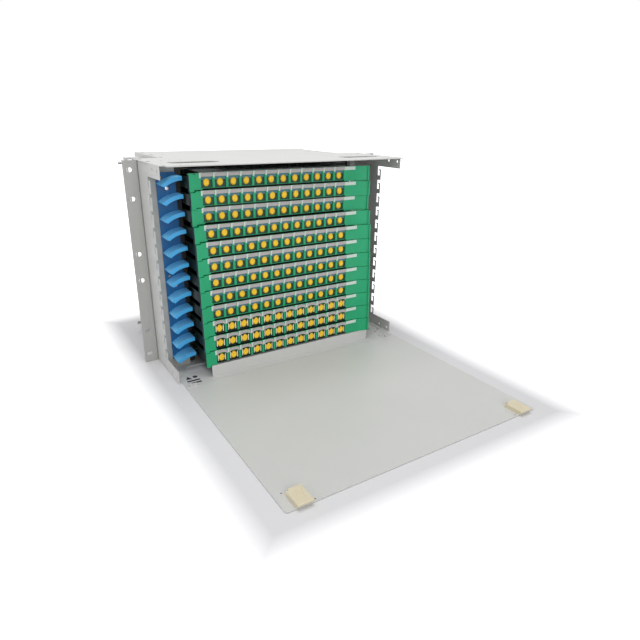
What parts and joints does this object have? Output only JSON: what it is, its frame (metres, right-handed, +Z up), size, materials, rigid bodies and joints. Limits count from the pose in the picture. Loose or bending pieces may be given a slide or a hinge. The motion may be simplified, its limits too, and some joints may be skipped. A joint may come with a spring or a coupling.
{
  "type": "fibre distribution unit",
  "caption": "Rack-mount fibre distribution unit: open-fronted grey steel case with sliding green patch trays, blue fibre guides and a fold-down front door with latches.",
  "frame": {"origin": "underside of the case, midway across it, in the rear plane of the rack ears, which is the plane of the rack posts", "axes": "X to the unit's right as seen from the front, Y back into the rack, Z up"},
  "size_m": [0.4826, 0.6512, 0.34],
  "materials": {
    "light_grey_powder_coat": "fine satin powder coat",
    "mid_grey_powder_coat": "fine satin powder coat",
    "black_steel": "matte black coat",
    "zinc_plated_steel": "bright zinc plate",
    "green_plastic": "moulded, semi-gloss",
    "yellow_plastic": "moulded, satin",
    "blue_plastic": "moulded, semi-gloss",
    "cream_plastic": "moulded, satin",
    "clear_label_strip": "translucent, satin"
  },
  "bodies": {
    "case": {"top_plate": "light_grey_powder_coat", "bottom_plate": "light_grey_powder_coat", "side_wall_left": "light_grey_powder_coat", "side_wall_right": "light_grey_powder_coat", "rear_cover": "light_grey_powder_coat", "rack_ear_left": "mid_grey_powder_coat", "rack_ear_right": "mid_grey_powder_coat", "tray_rail_left": "black_steel", "tray_rail_right": "black_steel", "guide_bracket": "light_grey_powder_coat", "fibre_guide_upper": "blue_plastic", "fibre_guide_lower": "blue_plastic", "cable_anchor_left": "light_grey_powder_coat", "cable_anchor_right": "light_grey_powder_coat", "earth_studs": "zinc_plated_steel", "guide_screws": "zinc_plated_steel"},
    "door": {"door_panel": "light_grey_powder_coat"},
    "latch_left": {"door_latch_left": "cream_plastic"},
    "latch_right": {"door_latch_right": "cream_plastic"},
    "tray_body_01": {"tray_01": "green_plastic", "ports_01": "yellow_plastic", "label_strip_01": "clear_label_strip"},
    "tray_body_02": {"tray_02": "green_plastic", "ports_02": "yellow_plastic", "label_strip_02": "clear_label_strip"},
    "tray_body_03": {"tray_03": "green_plastic", "ports_03": "yellow_plastic", "label_strip_03": "clear_label_strip"},
    "tray_body_04": {"tray_04": "green_plastic", "ports_04": "yellow_plastic", "label_strip_04": "clear_label_strip"},
    "tray_body_05": {"tray_05": "green_plastic", "ports_05": "yellow_plastic", "label_strip_05": "clear_label_strip"},
    "tray_body_06": {"tray_06": "green_plastic", "ports_06": "yellow_plastic", "label_strip_06": "clear_label_strip"},
    "tray_body_07": {"tray_07": "green_plastic", "ports_07": "yellow_plastic", "label_strip_07": "clear_label_strip"},
    "tray_body_08": {"tray_08": "green_plastic", "ports_08": "yellow_plastic", "label_strip_08": "clear_label_strip"},
    "tray_body_09": {"tray_09": "green_plastic", "ports_09": "yellow_plastic", "label_strip_09": "clear_label_strip"},
    "tray_body_10": {"tray_10": "green_plastic", "ports_10": "yellow_plastic", "label_strip_10": "clear_label_strip"},
    "tray_body_11": {"tray_11": "green_plastic", "ports_11": "yellow_plastic", "label_strip_11": "clear_label_strip"},
    "tray_body_12": {"tray_12": "green_plastic", "ports_12": "yellow_plastic", "label_strip_12": "clear_label_strip"}
  },
  "joints": [
    {"name": "door_hinge", "type": "hinge", "parent": "case", "child": "door", "pos_m": [0, -0.1279, 0.0019], "axis": [1, 0, 0], "range_deg": [-90, 0]},
    {"name": "latch_slide_left", "type": "slide", "parent": "door", "child": "latch_left", "axis": [0, -1, 0], "range_m": [0, 0.004]},
    {"name": "latch_slide_right", "type": "slide", "parent": "door", "child": "latch_right", "axis": [0, -1, 0], "range_m": [0, 0.004]},
    {"name": "tray_slide_01", "type": "slide", "parent": "case", "child": "tray_body_01", "axis": [0, -1, 0], "range_m": [0, 0.12]},
    {"name": "tray_slide_02", "type": "slide", "parent": "case", "child": "tray_body_02", "axis": [0, -1, 0], "range_m": [-0.003, 0.117]},
    {"name": "tray_slide_03", "type": "slide", "parent": "case", "child": "tray_body_03", "axis": [0, -1, 0], "range_m": [-0.001, 0.119]},
    {"name": "tray_slide_04", "type": "slide", "parent": "case", "child": "tray_body_04", "axis": [0, -1, 0], "range_m": [-0.007, 0.113]},
    {"name": "tray_slide_05", "type": "slide", "parent": "case", "child": "tray_body_05", "axis": [0, -1, 0], "range_m": [-0.011, 0.109]},
    {"name": "tray_slide_06", "type": "slide", "parent": "case", "child": "tray_body_06", "axis": [0, -1, 0], "range_m": [-0.012, 0.108]},
    {"name": "tray_slide_07", "type": "slide", "parent": "case", "child": "tray_body_07", "axis": [0, -1, 0], "range_m": [-0.014, 0.106]},
    {"name": "tray_slide_08", "type": "slide", "parent": "case", "child": "tray_body_08", "axis": [0, -1, 0], "range_m": [-0.015, 0.105]},
    {"name": "tray_slide_09", "type": "slide", "parent": "case", "child": "tray_body_09", "axis": [0, -1, 0], "range_m": [-0.016, 0.104]},
    {"name": "tray_slide_10", "type": "slide", "parent": "case", "child": "tray_body_10", "axis": [0, -1, 0], "range_m": [-0.017, 0.103]},
    {"name": "tray_slide_11", "type": "slide", "parent": "case", "child": "tray_body_11", "axis": [0, -1, 0], "range_m": [-0.018, 0.102]},
    {"name": "tray_slide_12", "type": "slide", "parent": "case", "child": "tray_body_12", "axis": [0, -1, 0], "range_m": [-0.019, 0.101]}
  ]
}
